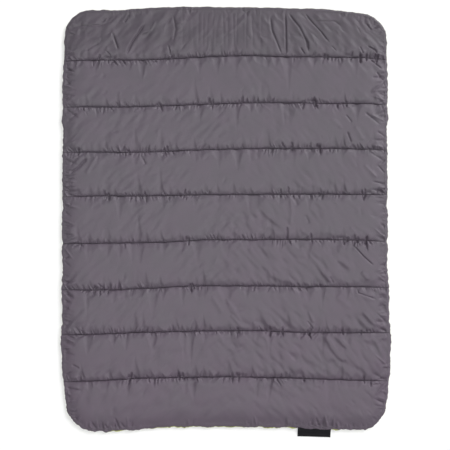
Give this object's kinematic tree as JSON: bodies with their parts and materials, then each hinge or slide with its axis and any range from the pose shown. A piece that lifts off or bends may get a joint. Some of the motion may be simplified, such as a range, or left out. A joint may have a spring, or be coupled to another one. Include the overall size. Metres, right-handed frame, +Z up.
{
  "type": "camp quilt",
  "caption": "Rectangular insulated camp quilt with rounded corners, a taffeta shell and lining sewn through the fill in crosswise channels, folding flat at each seam.",
  "frame": {"origin": "bottom centre of the quilt's bounding box as it lies flat, on the ground", "axes": "+X to the right across the quilt seen from above with the label at the lower right, +Y towards the head hem, +Z up out of the shell"},
  "size_m": [1.432, 1.8784, 0.024],
  "materials": {
    "shell": "plain-weave polyester taffeta, warm purplish grey, soft sheen",
    "lining": "plain-weave polyester taffeta, lime, soft sheen",
    "batting": "bonded polyester fibre, matt",
    "thread": "spun polyester sewing thread, dark grey",
    "label": "plain black woven tape, matt",
    "label_thread": "black sewing thread"
  },
  "bodies": {
    "channel_1": {"shell_panel_1": "shell", "batting_1": "batting", "lining_panel_1": "lining", "hem_thread_1": "thread", "quilting_thread_1": "thread"},
    "channel_2": {"shell_panel_2": "shell", "batting_2": "batting", "lining_panel_2": "lining", "hem_thread_2_left": "thread", "hem_thread_2_right": "thread", "quilting_thread_2": "thread"},
    "channel_3": {"shell_panel_3": "shell", "batting_3": "batting", "lining_panel_3": "lining", "hem_thread_3_left": "thread", "hem_thread_3_right": "thread", "quilting_thread_3": "thread"},
    "channel_4": {"shell_panel_4": "shell", "batting_4": "batting", "lining_panel_4": "lining", "hem_thread_4_left": "thread", "hem_thread_4_right": "thread", "quilting_thread_4": "thread"},
    "channel_5": {"shell_panel_5": "shell", "batting_5": "batting", "lining_panel_5": "lining", "hem_thread_5_left": "thread", "hem_thread_5_right": "thread"},
    "channel_6": {"shell_panel_6": "shell", "batting_6": "batting", "lining_panel_6": "lining", "hem_thread_6_left": "thread", "hem_thread_6_right": "thread", "quilting_thread_5": "thread"},
    "channel_7": {"shell_panel_7": "shell", "batting_7": "batting", "lining_panel_7": "lining", "hem_thread_7_left": "thread", "hem_thread_7_right": "thread", "quilting_thread_6": "thread"},
    "channel_8": {"shell_panel_8": "shell", "batting_8": "batting", "lining_panel_8": "lining", "hem_thread_8_left": "thread", "hem_thread_8_right": "thread", "quilting_thread_7": "thread"},
    "channel_9": {"shell_panel_9": "shell", "batting_9": "batting", "lining_panel_9": "lining", "hem_thread_9": "thread", "quilting_thread_8": "thread"},
    "label": {"label_tab": "label", "label_stitching_left": "label_thread", "label_stitching_right": "label_thread"}
  },
  "joints": [
    {"name": "seam_1_fold", "type": "hinge", "parent": "channel_2", "child": "channel_1", "pos_m": [0, 0.718, 0.0246], "axis": [1, 0, 0], "range_deg": [0, 178]},
    {"name": "seam_2_fold", "type": "hinge", "parent": "channel_3", "child": "channel_2", "pos_m": [0, 0.51925, -0.0006], "axis": [-1, 0, 0], "range_deg": [0, 178]},
    {"name": "seam_3_fold", "type": "hinge", "parent": "channel_4", "child": "channel_3", "pos_m": [0, 0.3205, 0.0246], "axis": [1, 0, 0], "range_deg": [0, 178]},
    {"name": "seam_4_fold", "type": "hinge", "parent": "channel_5", "child": "channel_4", "pos_m": [0, 0.1205, -0.0006], "axis": [-1, 0, 0], "range_deg": [0, 178]},
    {"name": "seam_5_fold", "type": "hinge", "parent": "channel_5", "child": "channel_6", "pos_m": [0, -0.08125, 0.0246], "axis": [-1, 0, 0], "range_deg": [0, 178]},
    {"name": "seam_6_fold", "type": "hinge", "parent": "channel_6", "child": "channel_7", "pos_m": [0, -0.28225, -0.0006], "axis": [1, 0, 0], "range_deg": [0, 178]},
    {"name": "seam_7_fold", "type": "hinge", "parent": "channel_7", "child": "channel_8", "pos_m": [0, -0.48325, 0.0246], "axis": [-1, 0, 0], "range_deg": [0, 178]},
    {"name": "seam_8_fold", "type": "hinge", "parent": "channel_8", "child": "channel_9", "pos_m": [0, -0.6855, -0.0006], "axis": [1, 0, 0], "range_deg": [0, 178]},
    {"name": "label_flap", "type": "hinge", "parent": "channel_9", "child": "label", "pos_m": [0.388, -0.9004, 0.0101], "axis": [-0.9995, 0.0308, 0], "range_deg": [0, 165]}
  ]
}
